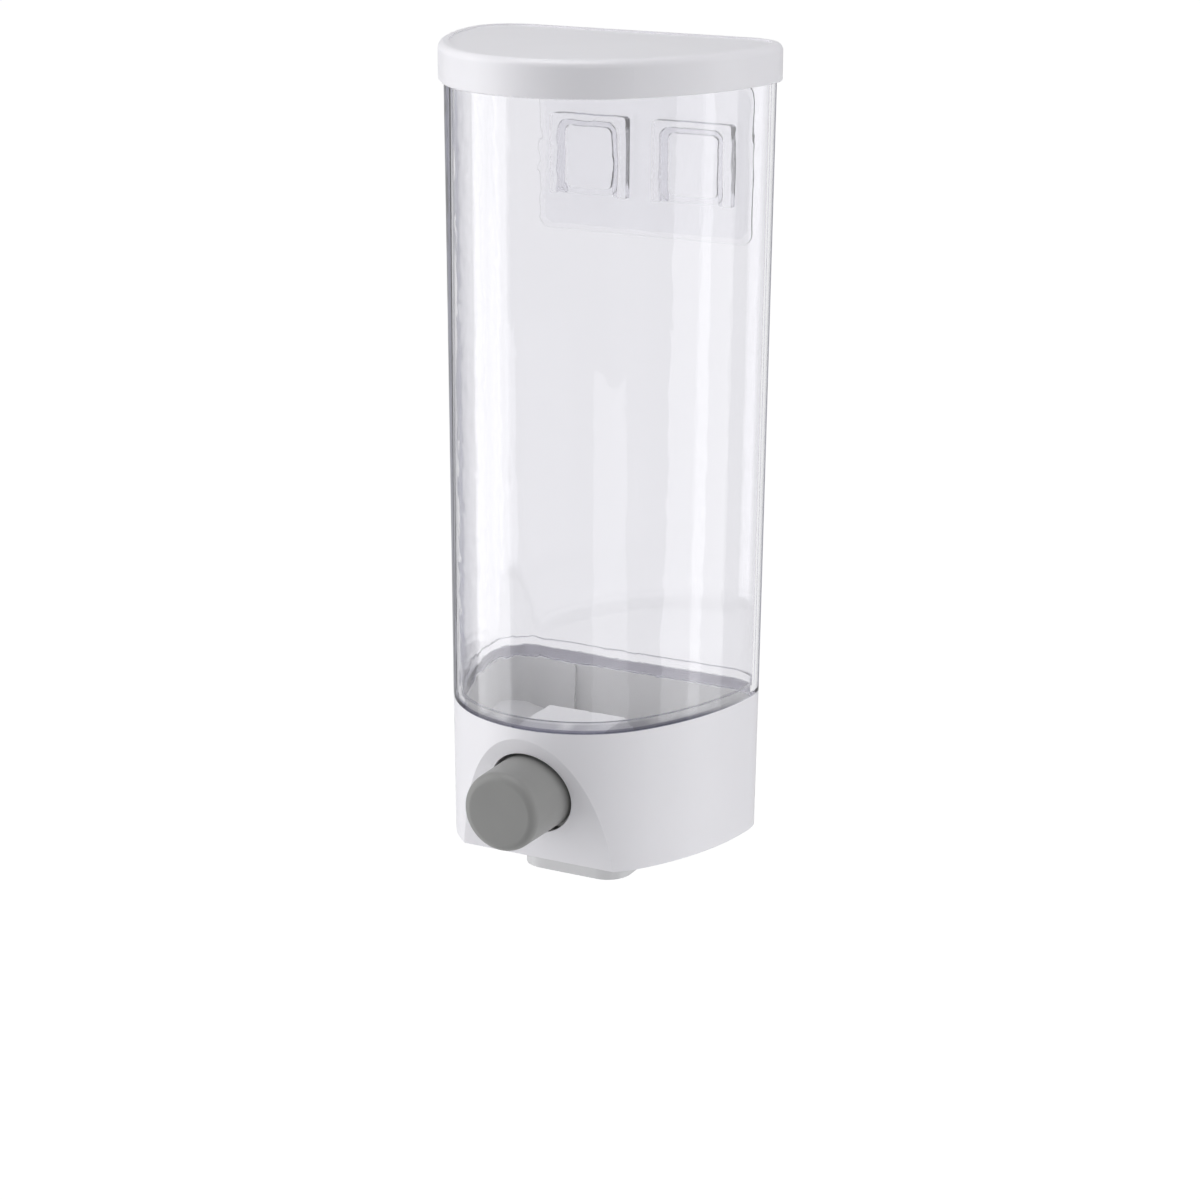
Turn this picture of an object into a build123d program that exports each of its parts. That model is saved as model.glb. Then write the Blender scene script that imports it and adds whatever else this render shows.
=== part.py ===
from build123d import *

import os
from math import cos, pi, radians, sin, sqrt

# Driving dimensions, in millimetres.
# Heights are counted from the underside of the base, depths from the jar's flat back to the front.
lid_top = 280.0
seam = 50.6
hang_height = 235.0
wall = 2.2
gap = 0.3
fit_gap = 0.1

# Plan outline of the jar and the base: half width at the flat back, and depth of the nose.
top_half_width = 57.5
top_depth = 89.5
seam_half_width = 54.5
seam_depth = 87.2
foot_half_width = 53.6
foot_depth = 86.35
nose_radius = 45.5
back_lean = 6.5
back_corner = 16.0

# Wall plate, its two tongues and the rails on the jar that hang on them.
adhesive = 0.8
adhesive_inset = 2.0
plate = 1.6
plate_width = 84.0
plate_height = 56.0
plate_corner = 4.0
tongue_pitch = 40.6
head_width = 24.0
head_height = 26.0
head_corner = 4.0
head_top = 247.0
head = 1.6
core_width = 19.0
core_height = 22.0
core_corner = 2.5
lip = 1.4
rail_width = 30.5
rail_height = 28.7
rail_corner = 1.5
rail_crown = 2.0

# Lid, its plug ring and seal.
lid_overhang = 1.8
lid_skirt = 12.8
lid_panel = 2.6
lid_round = 2.6
lid_foot_round = 0.6
recess_inset = 3.8
recess = 0.5
plug_inset = 3.2
plug = 1.6
plug_depth = 9.4
seal_height = 4.0
seal_drop = 3.6
seal_seat = 0.8
seal_notch = 0.7

# Joint between the jar and the base, and the thick foot of the jar.
rim_depth = 5.0
rim_wall = 1.15
flange = 1.2
snap = 0.5
snap_height = 1.2
snap_width = 12.0
snap_drop = 2.2
snap_depth = 22.0
ring = 1.4
ring_height = 3.6

# Front scoop of the base: how far back it starts at the foot, where it runs out, and its hollow.
scoop_foot = 75.5
scoop_nose = 87.0
scoop_height = 46.5
scoop_sag = 1.5
scoop_round = 2.5

# Button, on an axis square to the wall.
button_height = 25.6
button_front = 103.5
button_radius = 14.0
button_back_radius = 14.4
button_round = 3.0
button_bore = 12.0
button_face = 2.5
button_hole = 15.5
button_travel = 17.5
sleeve_radius = 17.0

# Gate plate, its window and the upstand that carries the button.
gate_foot = 12.5
gate = 3.0
gate_half_width = 22.1
gate_rear = 21.5
gate_front = 74.5
upstand = 2.5
upstand_half_width = 17.4
upstand_top = 38.5
upstand_corner = 6.0
spigot_length = 5.0
spring_hole = 7.3
gusset = 2.0
gusset_place = 14.0
gusset_length = 10.0
gusset_height = 14.0

# Hopper: bin with sloping floors, well, throat and the bevelled cover over the button's works.
bin_inset = 4.4
bin_draft = 1.4
bin_wall = 1.6
bin_foot = 25.0
side_rise_share = 0.22
front_rise_share = 0.57
well_half_width = 22.5
well_front = 38.5
recess_wall = 1.1
throat_half_width = 17.5
throat_length = 15.0
skin = 2.0
cover_half_width = 20.0
cover_top = 42.6
cover_skin = 1.8
cover_front = 72.0
cover_bevel = 5.0
post_radius = 4.5
post_length = 12.0
cap_post_length = 8.0

# Outlet chute with the deck and rails for the gate.
deck = 2.0
deck_half_width = 34.0
deck_back = 5.0
rail = 2.6
rail_rise = 4.3
spout_half_width = 20.2
spout_front = 53.0
spout_back = 17.0
spout_corner = 9.0
spout_drop = 14.0
spout_wall = 2.0
spout_gap = 0.5

# Screws: shank and head radii, head height and length, and where they stand.
shank_radius = 1.45
pilot_radius = 1.5
clear_radius = 1.7
screw_head_radius = 2.8
screw_head = 2.0
screw_length = 9.0
boss_radius = 4.0
chute_screw_x = 30.0
chute_screw_y = (-50.0, -10.0)
floor_screw_inset = 6.0
rear_screw_depth = 12.0
front_screw_angle = 39.6
floor_boss_height = 18.0
boss_web = 1.8
small_shank_radius = 0.95
small_pilot_radius = 1.0
small_clear_radius = 1.2
small_head_radius = 2.0
small_head = 1.4
small_length = 11.0
small_boss_radius = 2.7
small_screw_x = 9.6

# Base floor: how deep it sits in the foot.
floor_inset = 2.2

# Ribs on the back of the base that keep it plumb against the wall.
rib_width = 6.0
rib_place = 30.0
rib_foot = 8.0
rib_height = 34.0

# Return spring.
wire = 0.8
spring_radius = 5.5
closed_turns = 1
open_turns = 8
closed_pitch = 1.5
seat_gap = 0.05
turn_step = 0.001

# Sizes that follow from those.
stand_off = adhesive + plate + gap + lip + gap + head + gap
lid_foot = lid_top - lid_skirt
jar_top = lid_top - lid_panel - gap
rim_ledge = seam - rim_depth
flange_top = rim_ledge + flange
gate_top = gate_foot + gate
throat_foot = gate_top + gap
throat_rear = well_front - throat_length
window_rear = throat_rear + button_travel
window_front = window_rear + throat_length
floor_top = floor_inset + wall
deck_top = gate_foot - gap
deck_foot = deck_top - deck
sleeve_rear = gate_front + gap
deck_front = gate_front - button_travel - gap
well_back = wall + gap + recess_wall
half_share = 0.5
third_share = 1 / 3


def level(height):
    """Plane facing up at a height over the base's underside, with y = 0 on the jar's back."""
    return Plane(origin=(0, -stand_off, height - hang_height), x_dir=(1, 0, 0), z_dir=(0, 0, 1))


def facing(depth):
    """Plane facing the front at a depth from the jar's back: x to the right, y the height."""
    return Plane(origin=(0, -stand_off - depth, -hang_height), x_dir=(1, 0, 0), z_dir=(0, -1, 0))


def section():
    """Plane of symmetry: x is the depth, plus to the wall, and y the height."""
    return Plane(origin=(0, -stand_off, -hang_height), x_dir=(0, 1, 0), z_dir=(1, 0, 0))


def d_outline(half_width, depth, grow=0.0):
    """Flat back, bowed sides and a round nose, moved outward by grow."""
    nose = Vector(0, nose_radius - depth)
    corner = Vector(half_width, 0)
    normal = Vector(cos(radians(back_lean)), sin(radians(back_lean)))
    reach = corner - nose
    side_radius = (reach.dot(reach) - nose_radius**2) / (2 * (reach.dot(normal) - nose_radius))
    side = corner - normal * side_radius
    swing = (nose - side).normalized()
    grown_side = side_radius + grow
    meet = nose + swing * (nose_radius + grow)
    back = Vector(side.X + sqrt(grown_side**2 - (grow - side.Y) ** 2), grow)
    middle = ((back - side).normalized() + swing).normalized()
    belly = side + middle * grown_side
    with BuildSketch() as outline:
        with BuildLine():
            ThreePointArc(back, belly, meet)
            ThreePointArc(meet, (0, -depth - grow), (-meet.X, meet.Y))
            ThreePointArc((-meet.X, meet.Y), (-belly.X, belly.Y), (-back.X, back.Y))
            Line((-back.X, back.Y), back)
        make_face()
        fillet(outline.vertices().group_by(Axis.Y)[-1], back_corner + grow)
    return outline.sketch


def base_outline(height, grow):
    """Outline of the base at a height, moved outward by grow."""
    share = height / seam
    half_width = foot_half_width + (seam_half_width - foot_half_width) * share
    depth = foot_depth + (seam_depth - foot_depth) * share
    return d_outline(half_width, depth, grow)


def scoop_front(inset=0.0):
    """Everything in front of the hollow front panel, on the plane of symmetry, moved back by inset."""
    foot = Vector(inset - scoop_foot, 0)
    nose = Vector(inset - scoop_nose, scoop_height)
    along = (nose - foot).normalized()
    hollow = (foot + nose) * half_share + Vector(along.Y, -along.X) * scoop_sag
    start = foot - along * scoop_height
    end = nose + along * scoop_height
    far = -2 * scoop_nose
    with BuildSketch() as front:
        with BuildLine():
            Line(start, foot)
            ThreePointArc(foot, hollow, nose)
            Polyline(nose, end, (far, end.Y), (far, start.Y), start)
        make_face()
    return front.sketch


def box_face(half_width, front, back):
    """Rectangle in plan from its front to its back depth."""
    with BuildSketch() as face:
        with Locations((0, -(front + back) * half_share)):
            Rectangle(2 * half_width, front - back)
    return face.sketch


def spout_face(grow=0.0):
    """Rounded rectangle of the spout in plan."""
    with BuildSketch() as face:
        with Locations((0, -(spout_front + spout_back) * half_share)):
            RectangleRounded(
                2 * (spout_half_width + grow), spout_front - spout_back + 2 * grow, spout_corner + grow
            )
    return face.sketch


def snap_faces(grow):
    """Snap lugs of the jar in plan, one at each side."""
    with BuildSketch() as lugs:
        add(d_outline(seam_half_width, seam_depth, snap - rim_wall + grow))
        with Locations((0, -snap_depth)):
            Rectangle(4 * seam_half_width, snap_width + 2 * grow, mode=Mode.INTERSECT)
        add(d_outline(seam_half_width, seam_depth, -rim_wall - fit_gap), mode=Mode.SUBTRACT)
    return lugs.sketch


def front_floor(drop=0.0):
    """Everything under the bin's front floor, on the plane of symmetry, lowered by drop."""
    foot = bin_foot - drop
    far = 2 * seam_depth
    crest = foot + (far - well_front) * front_rise_share
    with BuildSketch() as face:
        with BuildLine():
            Polyline((-well_front, foot), (-far, crest), (-far, foot), close=True)
        make_face()
    return face.sketch


def side_floors(drop=0.0):
    """Everything under the bin's two side floors, seen from the front, lowered by drop."""
    foot = bin_foot - drop
    far = 2 * seam_half_width
    crest = foot + (far - well_half_width) * side_rise_share
    with BuildSketch() as faces:
        with BuildLine():
            Polyline((well_half_width, foot), (far, crest), (far, foot), close=True)
        make_face()
        mirror(about=Plane.YZ)
    return faces.sketch


def cover_face(half_width, top, bevel):
    """Front view of the cover over the button's works, with its two top corners bevelled."""
    with BuildSketch() as face:
        with Locations((0, (throat_foot + top) * half_share)):
            Rectangle(2 * half_width, top - throat_foot)
        chamfer(face.vertices().group_by(Axis.Y)[-1], bevel)
    return face.sketch


def gusset_face():
    """Triangle behind the gate's upstand, on the plane of symmetry."""
    foot = upstand - gate_front
    toe = (foot + gusset_length, gate_top)
    head = (foot, gate_top + gusset_height)
    with BuildSketch() as face:
        with BuildLine():
            Polyline((foot, gate_top), toe, head, close=True)
        make_face()
    return face.sketch


def screw_set(places, plane, shank, head_radius, head_height, length):
    """Group of equal screws: heads on the near side of the plane, shanks along its normal."""
    with BuildPart() as screws:
        with BuildSketch(plane):
            with Locations(*places):
                Circle(shank)
        extrude(amount=length)
        with BuildSketch(plane):
            with Locations(*places):
                Circle(head_radius)
        extrude(amount=-head_height)
    return screws.part


# Adhesive sheet on the wall, and the plate with two tongues
with BuildPart() as adhesive_sheet:
    with BuildSketch(facing(-stand_off)):
        with Locations((0, hang_height)):
            RectangleRounded(
                plate_width - 2 * adhesive_inset, plate_height - 2 * adhesive_inset, plate_corner
            )
    extrude(amount=adhesive)

plate_front = adhesive + plate - stand_off
core_top = head_top - (head_height - core_height) * half_share
with BuildPart() as wall_plate:
    with BuildSketch(facing(adhesive - stand_off)):
        with Locations((0, hang_height)):
            RectangleRounded(plate_width, plate_height, plate_corner)
    extrude(amount=plate)
    chamfer(wall_plate.faces().sort_by(Axis.Y)[0].edges(), adhesive * half_share)
    with BuildSketch(facing(plate_front)):
        with Locations((0, core_top - core_height * half_share)):
            with GridLocations(tongue_pitch, 0, 2, 1):
                RectangleRounded(core_width, core_height, core_corner)
    extrude(amount=lip + 2 * gap)
    with BuildSketch(facing(plate_front + lip + 2 * gap)):
        with Locations((0, head_top - head_height * half_share)):
            with GridLocations(tongue_pitch, 0, 2, 1):
                RectangleRounded(head_width, head_height, head_corner)
    extrude(amount=head)

# Jar: tapered shell with a thick foot, spigot and snap lugs, and two lipped inverted-U rails on the back
rail_top = head_top + gap + rail_crown
rail_foot = rail_top - rail_height
rail_middle = (rail_top + rail_foot) * half_share
rail_depth = gap + head + gap + lip
with BuildPart() as jar:
    with BuildSketch(level(seam)):
        add(d_outline(seam_half_width, seam_depth))
    with BuildSketch(level(jar_top)):
        add(d_outline(top_half_width, top_depth))
    loft(ruled=True)
    with BuildSketch(level(seam)):
        add(d_outline(seam_half_width, seam_depth, -wall))
    with BuildSketch(level(jar_top)):
        add(d_outline(top_half_width, top_depth, -wall))
    loft(ruled=True, mode=Mode.SUBTRACT)
    with BuildSketch(level(flange_top + fit_gap)):
        add(d_outline(seam_half_width, seam_depth, -rim_wall - fit_gap))
        add(d_outline(seam_half_width, seam_depth, -wall - ring), mode=Mode.SUBTRACT)
    extrude(amount=seam + ring_height - flange_top - fit_gap)
    with BuildSketch(level(seam - snap_drop)):
        add(snap_faces(0))
    extrude(amount=-snap_height)
    with BuildSketch(facing(0)):
        with Locations((0, rail_middle)):
            with GridLocations(tongue_pitch, 0, 2, 1):
                RectangleRounded(rail_width, rail_height, rail_corner)
        with Locations((0, (rail_foot + rail_middle) * half_share)):
            with GridLocations(tongue_pitch, 0, 2, 1):
                Rectangle(rail_width, rail_height * half_share)
    extrude(amount=-rail_depth)
    with BuildSketch(facing(0)):
        with Locations((0, head_top + gap - head_height)):
            with GridLocations(tongue_pitch, 0, 2, 1):
                RectangleRounded(head_width + 2 * gap, 2 * head_height, head_corner)
    extrude(amount=-2 * gap - head, mode=Mode.SUBTRACT)
    with BuildSketch(facing(0)):
        with Locations((0, core_top + gap - core_height)):
            with GridLocations(tongue_pitch, 0, 2, 1):
                RectangleRounded(core_width + 2 * gap, 2 * core_height, core_corner)
    extrude(amount=-rail_depth, mode=Mode.SUBTRACT)

# Lid: skirt over the jar, recessed top and a plug ring with a seat for the seal
panel_foot = lid_top - lid_panel
seal_top = panel_foot - seal_drop
seal_foot = seal_top - seal_height
with BuildPart() as lid:
    with BuildSketch(level(lid_foot)):
        add(d_outline(top_half_width, top_depth, lid_overhang))
    extrude(amount=lid_skirt)
    fillet(lid.faces().sort_by(Axis.Z)[-1].edges(), lid_round)
    fillet(lid.faces().sort_by(Axis.Z)[0].edges(), lid_foot_round)
    with BuildSketch(level(lid_top)):
        add(d_outline(top_half_width, top_depth, lid_overhang - recess_inset))
    extrude(amount=-recess, mode=Mode.SUBTRACT)
    with BuildSketch(level(lid_foot)):
        add(d_outline(top_half_width, top_depth, gap))
    extrude(amount=lid_skirt - lid_panel, mode=Mode.SUBTRACT)
    with BuildSketch(level(panel_foot)):
        add(d_outline(top_half_width, top_depth, -plug_inset))
        add(d_outline(top_half_width, top_depth, -plug_inset - plug), mode=Mode.SUBTRACT)
    extrude(amount=-plug_depth)
    with BuildSketch(level(seal_foot)):
        add(d_outline(top_half_width, top_depth, -wall))
        add(d_outline(top_half_width, top_depth, -plug_inset - seal_seat), mode=Mode.SUBTRACT)
    extrude(amount=seal_height, mode=Mode.SUBTRACT)

with BuildPart() as lid_seal:
    with BuildSketch(level(seal_foot)):
        add(d_outline(top_half_width, top_depth, -wall - gap))
        add(d_outline(top_half_width, top_depth, fit_gap - plug_inset - seal_seat), mode=Mode.SUBTRACT)
    extrude(amount=seal_height)
    with BuildSketch(level(seal_foot + seal_height * third_share)):
        add(d_outline(top_half_width, top_depth, -wall))
        add(d_outline(top_half_width, top_depth, -wall - gap - seal_notch), mode=Mode.SUBTRACT)
    extrude(amount=seal_height * third_share, mode=Mode.SUBTRACT)

# Space inside the base, less the button's sleeve and the webbed screw bosses that stand in it
screw_sweep = nose_radius - floor_screw_inset
front_screw_x = screw_sweep * cos(radians(front_screw_angle))
front_screw_depth = foot_depth - nose_radius + screw_sweep * sin(radians(front_screw_angle))
rear_screw_x = foot_half_width - floor_screw_inset
boss_rows = [(rear_screw_x, rear_screw_depth), (front_screw_x, front_screw_depth)]
floor_places = [(side * x, -depth) for x, depth in boss_rows for side in (-1, 1)]
with BuildPart() as base_space:
    with BuildSketch(level(0)):
        add(d_outline(foot_half_width, foot_depth, -wall))
    with BuildSketch(level(seam)):
        add(d_outline(seam_half_width, seam_depth, -wall))
    loft(ruled=True)
    with BuildSketch(section()):
        add(scoop_front(wall))
    extrude(amount=2 * foot_half_width, both=True, mode=Mode.SUBTRACT)
    with BuildSketch(facing(sleeve_rear)):
        with Locations((0, button_height)):
            Circle(sleeve_radius)
    extrude(amount=scoop_nose - scoop_foot, mode=Mode.SUBTRACT)
    with BuildSketch(level(floor_top)):
        for boss_x, boss_depth in boss_rows:
            with Locations((0, -boss_depth)):
                Rectangle(4 * seam_half_width, boss_web)
                Rectangle(2 * boss_x, boss_web, mode=Mode.SUBTRACT)
        with Locations(*floor_places):
            Circle(boss_radius)
    extrude(amount=floor_boss_height, mode=Mode.SUBTRACT)

# Base housing: tapered shell with a hollow front panel, a rim for the jar and ribs on the back
with BuildPart() as base_housing:
    with BuildSketch(level(0)):
        add(d_outline(foot_half_width, foot_depth))
    with BuildSketch(level(seam)):
        add(d_outline(seam_half_width, seam_depth))
    loft(ruled=True)
    with BuildSketch(section()):
        add(scoop_front())
    extrude(amount=2 * foot_half_width, both=True, mode=Mode.SUBTRACT)
    arch = base_housing.faces().sort_by(Axis.Y)[0].edges().sort_by(Axis.Z)[1:]
    fillet(arch, scoop_round)
    add(base_space.part, mode=Mode.SUBTRACT)
    with BuildSketch(level(rim_ledge)):
        add(d_outline(seam_half_width, seam_depth, -rim_wall))
    extrude(amount=rim_depth, mode=Mode.SUBTRACT)
    with BuildSketch(level(seam - snap_drop + fit_gap)):
        add(snap_faces(fit_gap))
    extrude(amount=-snap_height - 2 * fit_gap, mode=Mode.SUBTRACT)
    with BuildSketch(facing(sleeve_rear)):
        with Locations((0, button_height)):
            Circle(button_hole)
    extrude(amount=scoop_nose - scoop_foot, mode=Mode.SUBTRACT)
    with BuildSketch(level(floor_top)):
        with Locations(*floor_places):
            Circle(pilot_radius)
    extrude(amount=screw_length, mode=Mode.SUBTRACT)
    with BuildSketch(facing(0)):
        with Locations((0, rib_foot + rib_height * half_share)):
            with GridLocations(2 * rib_place, 0, 2, 1):
                Rectangle(rib_width, rib_height)
    extrude(amount=gap - stand_off)

# Base floor: plate inside the housing's foot, round the spout
with BuildPart() as base_floor:
    with BuildSketch(level(floor_inset)):
        add(d_outline(foot_half_width, foot_depth, -wall - fit_gap))
        add(spout_face(spout_gap), mode=Mode.SUBTRACT)
        with Locations(*floor_places):
            Circle(clear_radius, mode=Mode.SUBTRACT)
    extrude(amount=wall)
    with BuildSketch(section()):
        add(scoop_front(wall + fit_gap))
    extrude(amount=2 * foot_half_width, both=True, mode=Mode.SUBTRACT)

floor_screws = screw_set(
    floor_places, level(floor_inset), shank_radius, screw_head_radius, screw_head, screw_length
)

# Outlet chute: deck with two rails for the gate, over a rounded spout
chute_places = [(side * chute_screw_x, y) for y in chute_screw_y for side in (-1, 1)]
with BuildPart() as outlet_chute:
    with BuildSketch(level(deck_foot)):
        add(box_face(deck_half_width, deck_front, deck_back))
    extrude(amount=deck)
    with BuildSketch(level(deck_top)):
        add(box_face(gate_half_width + gap + rail, deck_front, deck_back))
        add(box_face(gate_half_width + gap, deck_front, deck_back), mode=Mode.SUBTRACT)
    extrude(amount=rail_rise)
    with BuildSketch(level(-spout_drop)):
        add(spout_face())
    extrude(amount=spout_drop + deck_foot)
    with BuildSketch(level(-spout_drop)):
        add(spout_face(-spout_wall))
    extrude(amount=spout_drop + deck_top, mode=Mode.SUBTRACT)
    with BuildSketch(level(deck_foot)):
        with Locations(*chute_places):
            Circle(clear_radius)
    extrude(amount=deck, mode=Mode.SUBTRACT)

chute_screws = screw_set(
    chute_places, level(deck_foot), shank_radius, screw_head_radius, screw_head, screw_length
)

# Hopper space: D-shaped bin with floors that slope to a well, whose back slopes down to the throat
with BuildPart() as hopper_space:
    with BuildSketch(level(bin_foot)):
        add(base_outline(bin_foot, -bin_inset - bin_draft))
    with BuildSketch(level(flange_top)):
        add(base_outline(flange_top, -bin_inset))
    loft(ruled=True)
    with BuildSketch(section()):
        add(front_floor())
    extrude(amount=2 * seam_half_width, both=True, mode=Mode.SUBTRACT)
    with BuildSketch(facing(0)):
        add(side_floors())
    extrude(amount=2 * seam_depth, mode=Mode.SUBTRACT)
    with BuildSketch(level(bin_foot)):
        add(box_face(well_half_width, well_front, well_back))
    extrude(amount=flange_top - bin_foot)
    with BuildSketch(level(throat_foot)):
        add(box_face(throat_half_width, well_front, throat_rear))
    with BuildSketch(level(bin_foot)):
        add(box_face(well_half_width, well_front, well_back))
    loft(ruled=True)

# Hopper: flanged bin with the throat under it, a bevelled cover over the button's works and four screw posts
post_top = bin_foot + (seam_half_width - well_half_width) * side_rise_share
cover_inner_bevel = cover_bevel - cover_skin + (sqrt(2) - 1) * skin
with BuildPart() as hopper:
    with BuildSketch(level(bin_foot - skin)):
        add(base_outline(bin_foot - skin, bin_wall - bin_inset - bin_draft))
    with BuildSketch(level(flange_top)):
        add(base_outline(flange_top, bin_wall - bin_inset))
    loft(ruled=True)
    with BuildSketch(section()):
        add(front_floor(skin))
    extrude(amount=2 * seam_half_width, both=True, mode=Mode.SUBTRACT)
    with BuildSketch(facing(0)):
        add(side_floors(skin))
    extrude(amount=2 * seam_depth, mode=Mode.SUBTRACT)
    with BuildSketch(level(rim_ledge)):
        add(d_outline(seam_half_width, seam_depth, -rim_wall - fit_gap))
    extrude(amount=flange)
    with BuildSketch(level(bin_foot - skin)):
        add(box_face(well_half_width + skin, bin_inset + bin_draft, well_back - recess_wall))
    extrude(amount=flange_top - bin_foot + skin)
    with BuildSketch(level(throat_foot)):
        add(box_face(throat_half_width + skin, well_front + skin, throat_rear - skin))
    with BuildSketch(level(bin_foot)):
        add(box_face(well_half_width + skin, well_front + skin, well_back - recess_wall))
    loft(ruled=True)
    with BuildSketch(level(deck_top)):
        with Locations(*chute_places):
            Circle(boss_radius)
    extrude(amount=post_top - deck_top)
    add(hopper_space.part, mode=Mode.SUBTRACT)
    with BuildSketch(facing(well_front)):
        add(cover_face(cover_half_width, cover_top, cover_bevel))
    extrude(amount=cover_front - well_front)
    with BuildSketch(facing(well_front + skin)):
        add(cover_face(cover_half_width - skin, cover_top - cover_skin, cover_inner_bevel))
    extrude(amount=cover_front - well_front, mode=Mode.SUBTRACT)
    with BuildSketch(facing(well_front + skin)):
        with Locations((0, button_height)):
            Circle(post_radius)
    extrude(amount=post_length)
    with BuildSketch(level(deck_top)):
        with Locations(*chute_places):
            Circle(pilot_radius)
    extrude(amount=screw_length, mode=Mode.SUBTRACT)

# Gate slider: plate with a window, and an upstand whose hollow spigot carries the button
with BuildPart() as gate_slider:
    with BuildSketch(level(gate_foot)):
        add(box_face(gate_half_width, gate_front, gate_rear))
        add(box_face(throat_half_width, window_front, window_rear), mode=Mode.SUBTRACT)
    extrude(amount=gate)
    with BuildSketch(facing(gate_front - upstand)):
        with Locations((0, (gate_foot + upstand_top) * half_share)):
            RectangleRounded(2 * upstand_half_width, upstand_top - gate_foot, upstand_corner)
        with Locations((0, gate_foot)):
            Rectangle(2 * upstand_half_width, button_height - gate_foot, align=(Align.CENTER, Align.MIN))
    extrude(amount=upstand)
    with BuildSketch(facing(gate_front)):
        with Locations((0, button_height)):
            Circle(button_bore - fit_gap)
    extrude(amount=spigot_length)
    with BuildSketch(section()):
        add(gusset_face())
    extrude(amount=gusset_place + gusset, both=True)
    with BuildSketch(section()):
        add(gusset_face())
    extrude(amount=gusset_place, both=True, mode=Mode.SUBTRACT)
    with BuildSketch(facing(gate_front - upstand)):
        with Locations((0, button_height)):
            Circle(spring_hole)
            with GridLocations(2 * small_screw_x, 0, 2, 1):
                Circle(small_clear_radius)
    extrude(amount=upstand + spigot_length, mode=Mode.SUBTRACT)

# Button cap: tapered cup over the spigot, with a post for the spring and two screw bosses
button_length = button_front - gate_front
with BuildPart() as button_cap:
    with BuildSketch(facing(gate_front)):
        with Locations((0, button_height)):
            Circle(button_back_radius)
    with BuildSketch(facing(button_front)):
        with Locations((0, button_height)):
            Circle(button_radius)
    loft(ruled=True)
    fillet(button_cap.faces().sort_by(Axis.Y)[0].edges(), button_round)
    with BuildSketch(facing(gate_front)):
        with Locations((0, button_height)):
            Circle(button_bore)
    extrude(amount=button_length - button_face, mode=Mode.SUBTRACT)
    with BuildSketch(facing(button_front - button_face)):
        with Locations((0, button_height)):
            Circle(post_radius)
    extrude(amount=-cap_post_length)
    with BuildSketch(facing(gate_front + spigot_length)):
        with Locations((0, button_height)):
            Circle(button_bore)
            with GridLocations(2 * small_screw_x, 0, 2, 1):
                Circle(small_boss_radius, mode=Mode.INTERSECT)
    extrude(amount=button_length - button_face - spigot_length)
    with BuildSketch(facing(gate_front + spigot_length)):
        with Locations((0, button_height)):
            with GridLocations(2 * small_screw_x, 0, 2, 1):
                Circle(small_pilot_radius)
    extrude(amount=small_length - spigot_length, mode=Mode.SUBTRACT)

button_places = [(side * small_screw_x, button_height) for side in (-1, 1)]
button_screws = screw_set(
    button_places,
    facing(gate_front - upstand),
    small_shank_radius,
    small_head_radius,
    small_head,
    small_length,
)

# Return spring: closed end turns and open turns, from the hopper's front wall to the inside of the button
spring_start = well_front + skin + seat_gap + wire * half_share
spring_end = button_front - button_face - seat_gap - wire * half_share
spring_travel = spring_end - spring_start
open_pitch = (spring_travel - 2 * closed_turns * closed_pitch) / open_turns
half_turns = 2 * (2 * closed_turns + open_turns)


def spring_point(turn):
    """Centre of the wire after a number of turns."""
    last = 2 * closed_turns + open_turns
    first_closed = min(turn, closed_turns)
    last_closed = max(turn - last + closed_turns, 0)
    opened = turn - first_closed - last_closed
    along = (first_closed + last_closed) * closed_pitch + opened * open_pitch
    angle = 2 * pi * turn
    depth = spring_start + along
    return Vector(
        spring_radius * cos(angle),
        -stand_off - depth,
        button_height - hang_height + spring_radius * sin(angle),
    )


def spring_heading(turn):
    """Direction of the wire there."""
    return (spring_point(turn + turn_step) - spring_point(turn - turn_step)).normalized()


def biarc(start, start_heading, end, end_heading):
    """Two tangent arcs between two points with headings: the middle point and its heading."""
    chord = end - start
    both = start_heading + end_heading
    spread = 2 * (1 - start_heading.dot(end_heading))
    lean = chord.dot(both)
    reach = (sqrt(lean**2 + spread * chord.dot(chord)) - lean) / spread
    first = start + start_heading * reach
    second = end - end_heading * reach
    return (first + second) * half_share, (second - first).normalized()


with BuildPart() as return_spring:
    with BuildLine() as path:
        lead = spring_point(0)
        lead_heading = spring_heading(0)
        Line(lead - lead_heading * wire, lead)
        for count in range(half_turns):
            start = spring_point(count * half_share)
            end = spring_point((count + 1) * half_share)
            heading = spring_heading(count * half_share)
            middle, middle_heading = biarc(start, heading, end, spring_heading((count + 1) * half_share))
            TangentArc(start, middle, tangent=heading)
            TangentArc(middle, end, tangent=middle_heading)
        tail = spring_point(half_turns * half_share)
        tail_heading = spring_heading(half_turns * half_share)
        Line(tail, tail + tail_heading * wire)
    with BuildSketch(Plane(origin=path.line @ 0, z_dir=path.line % 0)):
        Circle(wire * half_share)
    sweep()
print("least gap between the spring's turns", closed_pitch - wire)

finished = {
    "adhesive_sheet": adhesive_sheet.part,
    "wall_plate": wall_plate.part,
    "jar": jar.part,
    "lid": lid.part,
    "lid_seal": lid_seal.part,
    "base_housing": base_housing.part,
    "base_floor": base_floor.part,
    "floor_screws": floor_screws,
    "outlet_chute": outlet_chute.part,
    "chute_screws": chute_screws,
    "hopper": hopper.part,
    "gate_slider": gate_slider.part,
    "button_cap": button_cap.part,
    "button_screws": button_screws,
    "return_spring": return_spring.part,
}
os.makedirs("parts", exist_ok=True)
for name, piece in finished.items():
    piece.label = name
    export_step(piece, f"parts/{name}.step")
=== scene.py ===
from math import cos, radians, sin

import bpy
from mathutils import Matrix, Vector


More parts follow.
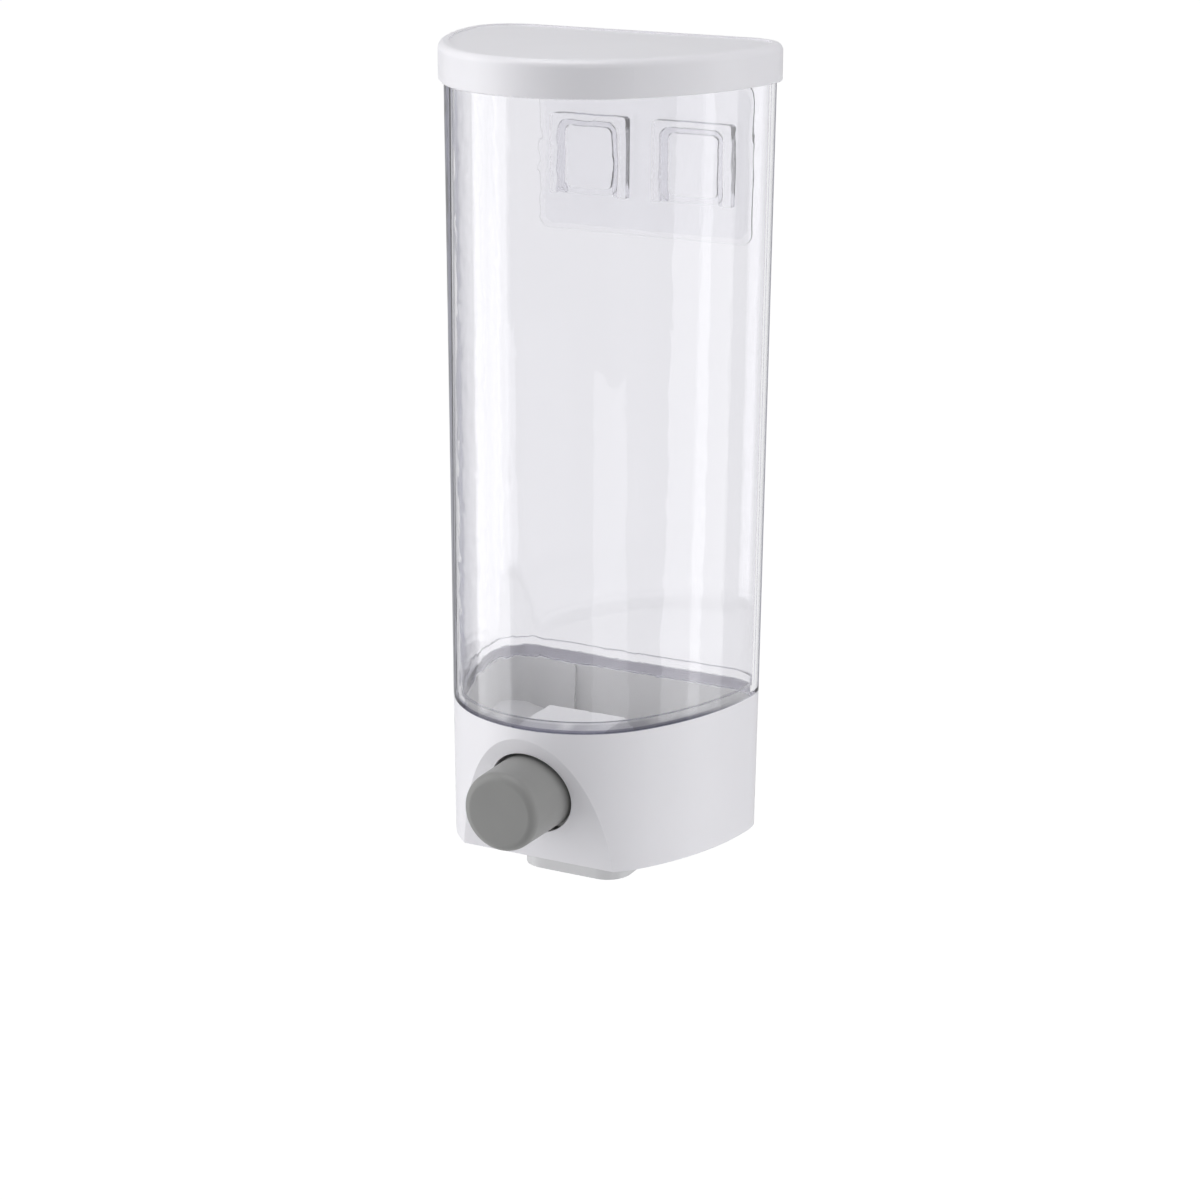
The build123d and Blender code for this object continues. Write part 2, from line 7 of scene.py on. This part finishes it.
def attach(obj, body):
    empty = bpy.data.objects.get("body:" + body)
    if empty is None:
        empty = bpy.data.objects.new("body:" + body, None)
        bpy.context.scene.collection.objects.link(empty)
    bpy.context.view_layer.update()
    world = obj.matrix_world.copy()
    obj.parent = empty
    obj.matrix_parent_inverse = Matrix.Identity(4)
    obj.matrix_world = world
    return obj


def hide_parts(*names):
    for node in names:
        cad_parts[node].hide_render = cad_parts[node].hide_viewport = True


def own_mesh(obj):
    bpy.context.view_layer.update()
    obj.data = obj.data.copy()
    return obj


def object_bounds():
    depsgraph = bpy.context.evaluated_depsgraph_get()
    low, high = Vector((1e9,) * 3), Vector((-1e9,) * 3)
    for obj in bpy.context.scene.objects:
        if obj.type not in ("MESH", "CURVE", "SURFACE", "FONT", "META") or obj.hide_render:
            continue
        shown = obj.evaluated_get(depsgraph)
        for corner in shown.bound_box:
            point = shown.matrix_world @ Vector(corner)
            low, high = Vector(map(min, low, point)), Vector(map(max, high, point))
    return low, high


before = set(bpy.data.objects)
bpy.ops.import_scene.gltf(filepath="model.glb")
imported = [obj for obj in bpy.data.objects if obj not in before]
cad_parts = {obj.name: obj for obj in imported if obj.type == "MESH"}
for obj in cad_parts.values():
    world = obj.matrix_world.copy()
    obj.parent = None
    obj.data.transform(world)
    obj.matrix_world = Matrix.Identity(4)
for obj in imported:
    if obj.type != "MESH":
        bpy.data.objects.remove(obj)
cad_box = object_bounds()

# Camera, in pixels of the photograph, millimetres of sensor, metres and degrees
IMAGE_SIZE = 1200
FOCAL_PIXELS = 3058.0
PRINCIPAL_PIXEL = (604.0, 437.2)
SENSOR_WIDTH = 36.0
CAMERA_PLACE = Vector((0.4738, -0.9610, 0.1641))
CAMERA_TARGET = Vector((0.0, -0.03255, -0.095))
CAMERA_ROLL = 0.27
CLIP_START = 0.01

# Clear plastic: painted shade where walls are seen edge-on, and painted shade at the front of the
# jar's thick foot, in metres
EDGE_SHADE_TINT = (0.07, 0.07, 0.14)
EDGE_FACING = (0.66, 0.86)
SHADOW_TINT = (0.95, 0.95, 0.97)
SEAM_HEIGHT = -0.1844
FOOT_FRONT = (-0.05, -0.03)
FOOT_LINE = (0.0004, 0.0011)
FOOT_LINE_SHARE = 0.9
FOOT_BAND = (0.0032, 0.0037)
FOOT_PATCH = 0.011
FOOT_PATCH_NOISE = (0.42, 0.6)
FOOT_PATCH_SHARE = (0.06, 0.4)

# Return spring, in metres
WIRE_RADIUS = 0.0004
WIRE_SIDES = 10
COIL_RADIUS = 0.0055
COIL_START = -0.04725
COIL_STEPS = 28
CLOSED_PITCH = 0.0015
OPEN_PITCH = 0.007075
OPEN_TURNS = 8
BUTTON_AXIS = -0.2094
WELD = 0.00001

# Screws under the base, in metres and degrees: radius and length, sides, rounding and cross recess
SCREW_HEAD = (0.0028, 0.002)
SCREW_SHANK = (0.00145, 0.009)
SCREW_SEAT = -0.2328
SCREW_PLACES = ((0.0476, -0.0183), (-0.0476, -0.0183), (0.03043, -0.07233), (-0.03043, -0.07233))
HEAD_SIDES = 40
SHANK_SIDES = 20
HEAD_ROUND = 0.0007
ROUND_STEPS = 4
ROUND_ANGLE = 60.0
CROSS = (0.0031, 0.0007, 0.0013)
QUARTER_TURN = 90.0
FIRST_TURN = 20.0
TURN_STEP = 47.0
SMOOTH_ANGLE = 40.0

# Stage, in metres
WHITE_LIGHT = (1.0, 1.0, 1.0)
ROOM_LIGHT = (0.96, 0.97, 1.0)
ROOM_GLOW = 0.34
MIRROR_SHARE = 0.2
PAPER = (0.85, 0.85, 0.85)
FLOOR_DROP = 0.6
FLOOR_SIZE = 30.0
FLOOR_GLOW = 1.2
FLOOR_SHARE = 0.8
BOUNCES = 24


class Value:
    """A socket of a finish, with arithmetic that adds Math nodes."""

    def __init__(self, finish, socket):
        self.finish = finish
        self.socket = socket

    def math(self, operation, first, second):
        return self.finish.node("ShaderNodeMath", {"operation": operation}, {0: first, 1: second})

    def __add__(self, other):
        return self.math("ADD", self, other)

    def __radd__(self, other):
        return self.math("ADD", other, self)

    def __mul__(self, other):
        return self.math("MULTIPLY", self, other)

    def __rmul__(self, other):
        return self.math("MULTIPLY", other, self)

    def larger(self, other):
        return self.math("MAXIMUM", self, other)


class Finish:
    """A node tree that is filled by expressions."""

    def __init__(self, tree):
        self.tree = tree
        tree.nodes.clear()

    def node(self, kind, settings=None, inputs=None, out=0):
        """Add a node, set it up, fill its sockets and give back one of its outputs."""
        made = self.tree.nodes.new(kind)
        for key, value in (settings or {}).items():
            setattr(made, key, value)
        for key, value in (inputs or {}).items():
            if isinstance(value, Value):
                self.tree.links.new(value.socket, made.inputs[key])
            else:
                made.inputs[key].default_value = value
        return Value(self, made.outputs[out]) if made.outputs else made

    def coords(self):
        return self.node("ShaderNodeTexCoord", out="Object")

    def along(self, axis):
        """Place along one axis of the part's frame."""
        return self.node("ShaderNodeSeparateXYZ", None, {0: self.coords()}, out=axis)

    def ramp(self, value, start, end, first=0.0, last=1.0):
        """Value that runs from first to last between start and end, level outside them."""
        ends = {0: value, 1: start, 2: end, 3: first, 4: last}
        return self.node("ShaderNodeMapRange", None, ends)

    def noise(self, size, detail=2.0, roughness=0.5):
        """Noise whose cells are about size wide, from 0 to 1."""
        inputs = {"Scale": 1.0 / size, "Detail": detail, "Roughness": roughness}
        inputs["Vector"] = self.coords()
        return self.node("ShaderNodeTexNoise", {"noise_dimensions": "3D"}, inputs)

    @staticmethod
    def around(middle, swing, share):
        """Value that a share from 0 to 1 moves from below the middle to above it."""
        return middle - swing + 2.0 * swing * share

    def mix(self, share, first, second):
        """Colour between two colours."""
        return self.node(
            "ShaderNodeMix",
            {"data_type": "RGBA"},
            {0: share, 6: self.colour(first), 7: self.colour(second)},
            out=2,
        )

    @staticmethod
    def colour(value):
        return value if isinstance(value, Value) else (*value, 1.0)

    def bump(self, height, distance, strength):
        inputs = {"Height": height, "Distance": distance, "Strength": strength}
        return self.node("ShaderNodeBump", None, inputs)

    def principled(self, inputs):
        return self.node("ShaderNodeBsdfPrincipled", None, inputs)

    def surface(self, shader):
        self.node("ShaderNodeOutputMaterial", None, {"Surface": shader})


def material(name):
    made = bpy.data.materials.new(name)
    made.use_nodes = True
    return made, Finish(made.node_tree)


def shade(tint, share):
    return tuple(channel * share for channel in tint)


# Materials


def moulded_white(name, tint, roughness):
    """White moulded plastic: cloudy tint, fine spark texture and an uneven satin gloss."""
    made, f = material(name)
    cloud = f.noise(size=0.035, detail=3.0)
    grain = f.noise(size=0.00045, roughness=0.6)
    swell = f.noise(size=0.004)
    swell_share = 0.6
    handled = f.noise(size=0.012, detail=4.0, roughness=0.6)
    height = grain + swell_share * swell
    shader = f.principled(
        {
            "Base Color": f.mix(cloud, shade(tint, share=0.965), tint),
            "Roughness": f.around(roughness, swing=0.05, share=handled),
            "Normal": f.bump(height, distance=0.00002, strength=0.35),
            "IOR": 1.5,
            "Specular IOR Level": 0.45,
            "Subsurface Weight": 0.08,
            "Subsurface Radius": (1.0, 0.95, 0.9),
            "Subsurface Scale": 0.0015,
        }
    )
    f.surface(shader)
    return made


def foot_painted_shade(f, foot):
    """Painted shade on the jar's thick foot, for its refraction: a dark line round its front and
    dark patches in a band above it.
    """
    height = f.along("Z")
    front = f.ramp(f.along("Y"), *FOOT_FRONT, first=1.0, last=0.0)
    line_start, line_end = (foot + rise for rise in FOOT_LINE)
    line = f.ramp(height, line_start, line_end, first=FOOT_LINE_SHARE, last=0.0)
    band_start, band_end = (foot + rise for rise in FOOT_BAND)
    band = f.ramp(height, band_start, band_end, first=1.0, last=0.0)
    patch = f.ramp(f.noise(size=FOOT_PATCH, detail=1.0), *FOOT_PATCH_NOISE, *FOOT_PATCH_SHARE)
    # painted shade only at the front, where refraction darkens the thick foot
    return front * line.larger(band * patch)


def clear_plastic(name, tint, foot=None):
    """Clear polished plastic: real refraction, with painted shade, dark and violet, where it is
    seen edge-on and in the thick foot.
    """
    made, f = material(name)
    ripple = f.noise(size=0.03)
    smudge = f.noise(size=0.016, detail=4.0, roughness=0.6)
    facing = f.node("ShaderNodeLayerWeight", None, {"Blend": 0.5}, out="Facing")
    # painted shade: dark violet where the wall is seen edge-on, standing in for the dark edges that
    # refraction gives, partly the real tint of a long path through the plastic
    dark = f.ramp(facing, *EDGE_FACING)
    if foot:
        dark = dark.larger(foot_painted_shade(f, foot))
    shader = f.principled(
        {
            "Base Color": f.mix(dark, tint, EDGE_SHADE_TINT),
            "Roughness": f.around(middle=0.014, swing=0.01, share=smudge),
            "Normal": f.bump(ripple, distance=0.00003, strength=0.05),
            "Transmission Weight": 1.0,
            "IOR": 1.5,
        }
    )
    clear = f.node("ShaderNodeBsdfTransparent", None, {"Color": f.colour(SHADOW_TINT)})
    shadow = f.node("ShaderNodeLightPath", out="Is Shadow Ray")
    f.surface(f.node("ShaderNodeMixShader", None, {0: shadow, 1: shader, 2: clear}))
    return made


def satin_grey(name, tint, roughness, grain_size):
    """Grey moulded plastic with a fine even texture; on the spout the grey is painted shade on
    white plastic.
    """
    made, f = material(name)
    grain = f.noise(size=grain_size, roughness=0.6)
    cloud = f.noise(size=0.012, detail=3.0)
    rubbed = f.noise(size=0.006, detail=4.0, roughness=0.6)
    shader = f.principled(
        {
            "Base Color": f.mix(cloud, shade(tint, share=0.9), tint),
            "Roughness": f.around(roughness, swing=0.06, share=rubbed),
            "Normal": f.bump(grain, distance=0.00003, strength=0.5),
            "IOR": 1.5,
        }
    )
    f.surface(shader)
    return made


def plated_steel(name, tint, roughness):
    """Zinc-plated wire and screws, with a cloudy sheen."""
    made, f = material(name)
    cloud = f.noise(size=0.0015, detail=3.0)
    drawn = f.noise(size=0.0003, roughness=0.7)
    shader = f.principled(
        {
            "Base Color": f.mix(cloud, shade(tint, share=0.75), tint),
            "Roughness": f.around(roughness, swing=0.08, share=drawn),
            "Normal": f.bump(drawn, distance=0.00001, strength=0.4),
            "Metallic": 1.0,
        }
    )
    f.surface(shader)
    return made


def soft_gel(name, tint, cover):
    """Silicone or adhesive gel: milky, with a dull skin."""
    made, f = material(name)
    cloud = f.noise(size=0.008, detail=3.0)
    skin = f.noise(size=0.003, detail=3.0)
    shader = f.principled(
        {
            "Base Color": f.mix(cloud, shade(tint, share=0.93), tint),
            "Roughness": f.around(middle=0.475, swing=0.075, share=skin),
            "Alpha": cover,
            "IOR": 1.41,
        }
    )
    f.surface(shader)
    return made


WHITE = moulded_white("white_plastic", (0.87, 0.86, 0.89), roughness=0.3)
# the hopper is the same white plastic as the base, painted darker as painted shade inside the base
SHADED_WHITE = moulded_white("inner_white_painted_shade", (0.69, 0.69, 0.685), roughness=0.4)
CLEAR = clear_plastic("clear_plastic", (0.894, 0.891, 0.912), foot=SEAM_HEIGHT)
CLEAR_PLATE = clear_plastic("clear_plate", (0.988, 0.988, 0.992))
BUTTON = satin_grey("button_grey", (0.285, 0.285, 0.278), roughness=0.4, grain_size=0.00035)
# the spout is white plastic; its light grey is painted shade for the shadow under the base
SPOUT = satin_grey("spout_painted_shade_grey", (0.74, 0.74, 0.745), roughness=0.38, grain_size=0.0005)
GATE = satin_grey("gate_plastic", (0.72, 0.72, 0.71), roughness=0.45, grain_size=0.0006)
STEEL = plated_steel("plated_steel", (0.62, 0.62, 0.64), roughness=0.34)
WIRE = plated_steel("spring_wire", (0.5, 0.5, 0.52), roughness=0.3)
SEAL = soft_gel("silicone_seal", (0.82, 0.82, 0.82), cover=0.8)
ADHESIVE = soft_gel("adhesive_gel", (0.9, 0.91, 0.93), cover=0.06)

FINISHES = {
    "jar": CLEAR,
    "wall_plate": CLEAR_PLATE,
    "lid": WHITE,
    "base_housing": WHITE,
    "base_floor": WHITE,
    "hopper": SHADED_WHITE,
    "button_cap": BUTTON,
    "outlet_chute": SPOUT,
    "gate_slider": GATE,
    "floor_screws": STEEL,
    "chute_screws": STEEL,
    "button_screws": STEEL,
    "return_spring": WIRE,
    "lid_seal": SEAL,
    "adhesive_sheet": ADHESIVE,
}
for node, finish in FINISHES.items():
    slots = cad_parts[node].data.materials
    slots.clear()
    slots.append(finish)


# Pieces that stand for CAD nodes: the spring and the screws under the base


def primitive(name, add, **sizes):
    """Mesh from one of the primitives, at the origin."""
    bpy.ops.object.select_all(action="DESELECT")
    add(**sizes)
    made = bpy.context.object
    made.name = name
    return made


def choose(pieces):
    """Select these pieces, the first one active."""
    bpy.ops.object.select_all(action="DESELECT")
    for piece in pieces:
        piece.select_set(True)
    bpy.context.view_layer.objects.active = pieces[0]


def edit(piece, *steps):
    """Run mesh operations on all of a piece's mesh."""
    choose([piece])
    bpy.ops.object.mode_set(mode="EDIT")
    for step, settings in steps:
        bpy.ops.mesh.select_all(action="SELECT")
        step(**settings)
    bpy.ops.object.mode_set(mode="OBJECT")


def shift(piece, offset):
    """Move a piece's mesh inside its object."""
    edit(piece, (bpy.ops.transform.translate, {"value": offset}))


def use_modifier(piece, kind, **settings):
    """Add a modifier and apply it."""
    choose([piece])
    added = piece.modifiers.new(kind.lower(), kind)
    for key, value in settings.items():
        setattr(added, key, value)
    bpy.ops.object.modifier_apply(modifier=added.name)


def joined(pieces, name):
    choose(pieces)
    bpy.ops.object.join()
    bpy.context.object.name = name
    return bpy.context.object


def dress(piece, finish, body, node):
    """Give a piece its finish and put it in a node's place on a body."""
    piece.data.materials.clear()
    piece.data.materials.append(finish)
    choose([piece])
    bpy.ops.object.shade_smooth_by_angle(angle=radians(SMOOTH_ANGLE))
    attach(piece, body)
    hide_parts(node)


def coil(start, pitch, turns):
    """Turns of wire round the Y axis, from a start towards the front."""
    ring = bpy.ops.mesh.primitive_circle_add
    wire = primitive("coil", ring, vertices=WIRE_SIDES, radius=WIRE_RADIUS)
    shift(wire, (COIL_RADIUS, start, 0.0))
    winding = {"axis": "Y", "screw_offset": -pitch, "iterations": turns}
    use_modifier(wire, "SCREW", steps=COIL_STEPS, render_steps=COIL_STEPS, **winding)
    return wire


def add_spring():
    """Return spring with closed ends, round the button's axis."""
    last = COIL_START - CLOSED_PITCH - OPEN_TURNS * OPEN_PITCH
    coils = [
        coil(COIL_START, CLOSED_PITCH, 1),
        coil(COIL_START - CLOSED_PITCH, OPEN_PITCH, OPEN_TURNS),
        coil(last, CLOSED_PITCH, 1),
    ]
    spring = joined(coils, "wound_spring")
    edit(
        spring,
        (bpy.ops.mesh.remove_doubles, {"threshold": WELD}),
        (bpy.ops.mesh.fill_holes, {"sides": 0}),
        (bpy.ops.mesh.normals_make_consistent, {"inside": False}),
        (bpy.ops.transform.translate, {"value": (0.0, 0.0, BUTTON_AXIS)}),
    )
    dress(spring, WIRE, "dispenser", "return_spring")
    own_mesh(spring)


def rod(name, sides, radius, length):
    """Upright cylinder, its middle at the origin."""
    add = bpy.ops.mesh.primitive_cylinder_add
    return primitive(name, add, vertices=sides, radius=radius, depth=length)


def pan_head_screw(place, turn):
    """Screw with a domed head and a cross recess, head down, turned about its axis."""
    head_radius, head_height = SCREW_HEAD
    shank_radius, shank_length = SCREW_SHANK
    head = rod("screw", HEAD_SIDES, head_radius, head_height)
    corners = {"limit_method": "ANGLE", "angle_limit": radians(ROUND_ANGLE)}
    use_modifier(head, "BEVEL", width=HEAD_ROUND, segments=ROUND_STEPS, **corners)
    for angle in (turn, turn + QUARTER_TURN):
        arm = primitive("arm", bpy.ops.mesh.primitive_cube_add, size=1.0)
        edit(
            arm,
            (bpy.ops.transform.resize, {"value": CROSS}),
            (bpy.ops.transform.rotate, {"value": radians(angle), "orient_axis": "Z"}),
            (bpy.ops.transform.translate, {"value": (0.0, 0.0, -head_height / 2)}),
        )
        use_modifier(head, "BOOLEAN", operation="DIFFERENCE", solver="EXACT", object=arm)
        choose([arm])
        bpy.ops.object.delete()
    shift(head, (0.0, 0.0, -head_height / 2))
    shank = rod("shank", SHANK_SIDES, shank_radius, shank_length)
    shift(shank, (0.0, 0.0, shank_length / 2))
    screw = joined([head, shank], "screw")
    shift(screw, (*place, SCREW_SEAT))
    return screw


add_spring()
turns = [FIRST_TURN + TURN_STEP * count for count in range(len(SCREW_PLACES))]
screws = [pan_head_screw(place, turn) for place, turn in zip(SCREW_PLACES, turns)]
dress(joined(screws, "cross_head_screws"), STEEL, "dispenser", "floor_screws")


# Stage: camera, soft boxes, world and floor


def add_camera():
    data = bpy.data.cameras.new("photo_camera")
    data.sensor_width = SENSOR_WIDTH
    data.lens = FOCAL_PIXELS / IMAGE_SIZE * SENSOR_WIDTH
    data.shift_x = (IMAGE_SIZE / 2 - PRINCIPAL_PIXEL[0]) / IMAGE_SIZE
    data.shift_y = (PRINCIPAL_PIXEL[1] - IMAGE_SIZE / 2) / IMAGE_SIZE
    data.clip_start = CLIP_START
    camera = bpy.data.objects.new("photo_camera", data)
    look = (CAMERA_TARGET - CAMERA_PLACE).to_track_quat("-Z", "Y").to_matrix().to_4x4()
    turn = Matrix.Rotation(radians(CAMERA_ROLL), 4, "Z")
    camera.matrix_world = Matrix.Translation(CAMERA_PLACE) @ look @ turn
    bpy.context.scene.collection.objects.link(camera)
    bpy.context.scene.camera = camera


def add_softbox(name, azimuth, elevation, power, size, distance=0.9, mirrored=True):
    """Area lamp aimed at the middle of the object, at an azimuth from its front."""
    data = bpy.data.lights.new(name, "AREA")
    data.shape = "RECTANGLE"
    data.size, data.size_y = size
    data.energy = power
    lamp = bpy.data.objects.new(name, data)
    flat = distance * cos(radians(elevation))
    offset = Vector((sin(radians(azimuth)) * flat, -cos(radians(azimuth)) * flat, 0.0))
    offset.z = distance * sin(radians(elevation))
    lamp.location = CAMERA_TARGET + offset
    lamp.rotation_euler = (-offset).to_track_quat("-Z", "Y").to_euler()
    lamp.visible_camera = False
    lamp.visible_glossy = mirrored
    bpy.context.scene.collection.objects.link(lamp)


def seen_directly(f):
    """1 where the camera sees, also through clear plastic, less if mirrored, 0 on lighting rays."""
    kinds = ("Camera", "Glossy", "Transmission")
    camera, mirrored, through = (
        f.node("ShaderNodeLightPath", out=f"Is {kind} Ray") for kind in kinds
    )
    return camera.larger(MIRROR_SHARE * mirrored).larger(through)


def add_world():
    world = bpy.data.worlds.new("studio")
    world.use_nodes = True
    f = Finish(world.node_tree)
    white_light = {"Color": f.colour(WHITE_LIGHT), "Strength": 1.0}
    white = f.node("ShaderNodeBackground", None, white_light)
    room_light = {"Color": f.colour(ROOM_LIGHT), "Strength": ROOM_GLOW}
    room = f.node("ShaderNodeBackground", None, room_light)
    seen = f.node("ShaderNodeMixShader", None, {0: seen_directly(f), 1: room, 2: white})
    f.node("ShaderNodeOutputWorld", None, {"Surface": seen})
    bpy.context.scene.world = world


def add_floor():
    """Pale floor, white where it is seen, with a trace of shadow, and clear from below."""
    lowest = cad_box[0][2]
    bpy.ops.object.select_all(action="DESELECT")
    bpy.ops.mesh.primitive_plane_add(size=FLOOR_SIZE, location=(0.0, 0.0, lowest - FLOOR_DROP))
    floor = bpy.context.object
    floor.name = "pale_floor"
    made, f = material("pale_floor")
    paper = f.node("ShaderNodeBsdfDiffuse", None, {"Color": f.colour(PAPER)})
    glow = {"Color": f.colour(WHITE_LIGHT), "Strength": FLOOR_GLOW}
    white = f.node("ShaderNodeEmission", None, glow)
    share = FLOOR_SHARE * seen_directly(f)
    top = f.node("ShaderNodeMixShader", None, {0: share, 1: paper, 2: white})
    under = f.node("ShaderNodeNewGeometry", out="Backfacing")
    clear = f.node("ShaderNodeBsdfTransparent")
    f.surface(f.node("ShaderNodeMixShader", None, {0: under, 1: top, 2: clear}))
    floor.data.materials.append(made)


left_lamp = {"size": (0.65, 1.8), "mirrored": False}
right_lamp = {"size": (0.32, 1.8), "mirrored": False}
low_lamp = {"size": (0.25, 0.2), "mirrored": False}
add_camera()
add_softbox("left_box", azimuth=-57.0, elevation=0.0, power=3.8, size=(0.65, 1.8))
add_softbox("left_fill", azimuth=-60.0, elevation=0.0, power=5.2, **left_lamp)
add_softbox("right_strip", azimuth=113.0, elevation=-4.0, power=1.5, size=(0.30, 1.8))
add_softbox("right_fill", azimuth=100.0, elevation=-4.0, power=3.7, **right_lamp)
add_softbox("base_fill", azimuth=50.0, elevation=-20.0, power=0.22, distance=0.5, **low_lamp)
add_softbox("overhead", azimuth=-10.0, elevation=75.0, power=3.9, size=(0.8, 0.6), distance=1.0)
add_world()
add_floor()
bpy.context.scene.view_settings.view_transform = "Standard"
bpy.context.scene.cycles.max_bounces = BOUNCES
bpy.context.scene.cycles.transmission_bounces = BOUNCES
bpy.context.scene.cycles.transparent_max_bounces = BOUNCES
